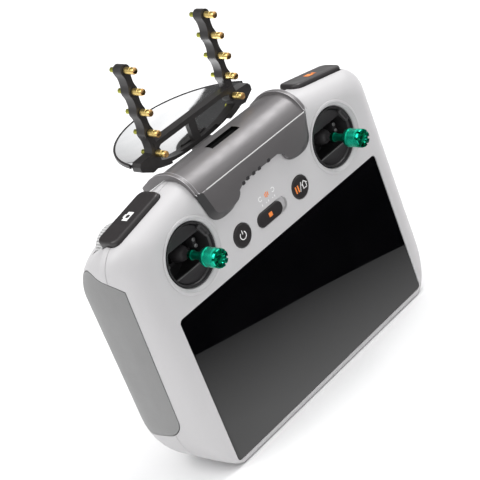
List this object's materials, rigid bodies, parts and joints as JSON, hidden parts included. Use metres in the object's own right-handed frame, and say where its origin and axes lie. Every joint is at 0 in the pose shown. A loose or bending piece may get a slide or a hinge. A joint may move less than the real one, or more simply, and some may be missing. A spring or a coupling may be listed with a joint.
{
  "type": "radio transmitter controller",
  "caption": "Handheld drone controller with a flat screen, thumb sticks, shoulder buttons, dials and a clip-on booster with gold rods and a mirror dish.",
  "frame": {"origin": "Centre of the bottom of the bounding box: the middle of the width and of the whole depth, level with the bottom edge that the controller stands on.", "axes": "+Z from the bottom edge up to the booster's antennas, +Y from the screen back through the body, +X to the holder's right."},
  "size_m": [0.1684, 0.0808, 0.1687],
  "materials": {
    "shell_plastic": "fine moulded texture, satin",
    "grip_rubber": "soft, matt",
    "screen_glass": "polished, black when off",
    "display_black": "matt",
    "inner_metal": "satin",
    "board_green": "solder mask",
    "inner_black": "matt",
    "steel": "bright",
    "cell_wrap": "shrink film",
    "gimbal_black": "satin",
    "stick_green": "green anodised, bright",
    "dial_plastic": "ribbed, satin",
    "button_dark": "satin with polished edges",
    "clip_plastic": "semi-gloss, smoky",
    "frame_black": "satin",
    "rod_brass": "polished",
    "reflector_mirror": "mirror polished"
  },
  "bodies": {
    "housing": {"front_shell": "shell_plastic", "rear_shell": "shell_plastic", "display_glass": "screen_glass", "display_panel": "display_black", "mid_frame": "inner_metal", "main_board": "board_green", "heat_sink": "inner_metal", "cooling_fan": "inner_black", "speaker": "inner_black", "charge_port": "steel", "battery_cell_left": "cell_wrap", "battery_cell_right": "cell_wrap", "grip_pad_left": "grip_rubber", "grip_pad_right": "grip_rubber", "gimbal_housing_left": "gimbal_black", "gimbal_housing_right": "gimbal_black", "screw_low_left": "steel", "screw_low_right": "steel", "screw_high_left": "steel", "screw_high_right": "steel"},
    "left_yoke": {"gimbal_yoke_left": "gimbal_black"},
    "left_stick": {"stick_shaft_left": "gimbal_black", "stick_cap_left": "stick_green"},
    "right_yoke": {"gimbal_yoke_right": "gimbal_black"},
    "right_stick": {"stick_shaft_right": "gimbal_black", "stick_cap_right": "stick_green"},
    "power_button": {"power_button": "button_dark"},
    "home_button": {"home_button": "button_dark"},
    "mode_switch": {"mode_switch": "button_dark"},
    "photo_button": {"photo_button": "button_dark"},
    "record_button": {"record_button": "button_dark"},
    "left_dial": {"dial_left": "dial_plastic"},
    "right_dial": {"dial_right": "dial_plastic"},
    "left_rear_button": {"rear_button_left": "button_dark"},
    "right_rear_button": {"rear_button_right": "button_dark"},
    "booster": {"clip_saddle": "clip_plastic", "booster_frame": "frame_black", "reflector_dish": "reflector_mirror", "reflector_rim": "frame_black", "rod_left_1": "rod_brass", "rod_left_2": "rod_brass", "rod_left_3": "rod_brass", "rod_left_4": "rod_brass", "rod_left_5": "rod_brass", "rod_right_1": "rod_brass", "rod_right_2": "rod_brass", "rod_right_3": "rod_brass", "rod_right_4": "rod_brass", "rod_right_5": "rod_brass"}
  },
  "joints": [
    {"name": "left_stick_up_down", "type": "hinge", "parent": "housing", "child": "left_yoke", "pos_m": [-0.048, -0.01385, 0.0943], "axis": [1, 0, 0], "range_deg": [-22, 22], "stiffness_Nm_per_rad": 0.02},
    {"name": "left_stick_left_right", "type": "hinge", "parent": "left_yoke", "child": "left_stick", "pos_m": [-0.048, -0.01385, 0.0943], "axis": [0, 0, 1], "range_deg": [-22, 22], "stiffness_Nm_per_rad": 0.02},
    {"name": "right_stick_up_down", "type": "hinge", "parent": "housing", "child": "right_yoke", "pos_m": [0.048, -0.01385, 0.0943], "axis": [1, 0, 0], "range_deg": [-22, 22], "stiffness_Nm_per_rad": 0.02},
    {"name": "right_stick_left_right", "type": "hinge", "parent": "right_yoke", "child": "right_stick", "pos_m": [0.048, -0.01385, 0.0943], "axis": [0, 0, 1], "range_deg": [-22, 22], "stiffness_Nm_per_rad": 0.02},
    {"name": "power_press", "type": "slide", "parent": "housing", "child": "power_button", "axis": [0, 1, 0], "range_m": [0, 0.0006], "stiffness_N_per_m": 900},
    {"name": "home_press", "type": "slide", "parent": "housing", "child": "home_button", "axis": [0, 1, 0], "range_m": [0, 0.0006], "stiffness_N_per_m": 900},
    {"name": "mode_slide", "type": "slide", "parent": "housing", "child": "mode_switch", "axis": [1, 0, 0], "range_m": [0, 0.0032]},
    {"name": "photo_press", "type": "slide", "parent": "housing", "child": "photo_button", "axis": [0.1867, 0, -0.9824], "range_m": [0, 0.0012], "stiffness_N_per_m": 900},
    {"name": "record_press", "type": "slide", "parent": "housing", "child": "record_button", "axis": [-0.1867, 0, -0.9824], "range_m": [0, 0.0012], "stiffness_N_per_m": 900},
    {"name": "left_dial_turn", "type": "hinge", "parent": "housing", "child": "left_dial", "pos_m": [-0.061, 0.00375, 0.1038], "axis": [0, 1, 0], "range_deg": [-35, 35], "stiffness_Nm_per_rad": 0.006},
    {"name": "right_dial_turn", "type": "hinge", "parent": "housing", "child": "right_dial", "pos_m": [0.061, 0.00375, 0.1038], "axis": [0, 1, 0], "range_deg": [-35, 35], "stiffness_Nm_per_rad": 0.006},
    {"name": "left_rear_press", "type": "slide", "parent": "housing", "child": "left_rear_button", "axis": [0, -1, 0], "range_m": [0, 0.0006], "stiffness_N_per_m": 900},
    {"name": "right_rear_press", "type": "slide", "parent": "housing", "child": "right_rear_button", "axis": [0, -1, 0], "range_m": [0, 0.0006], "stiffness_N_per_m": 900},
    {"name": "booster_lift", "type": "slide", "parent": "housing", "child": "booster", "axis": [0, 0, 1], "range_m": [0, 0.03]}
  ]
}
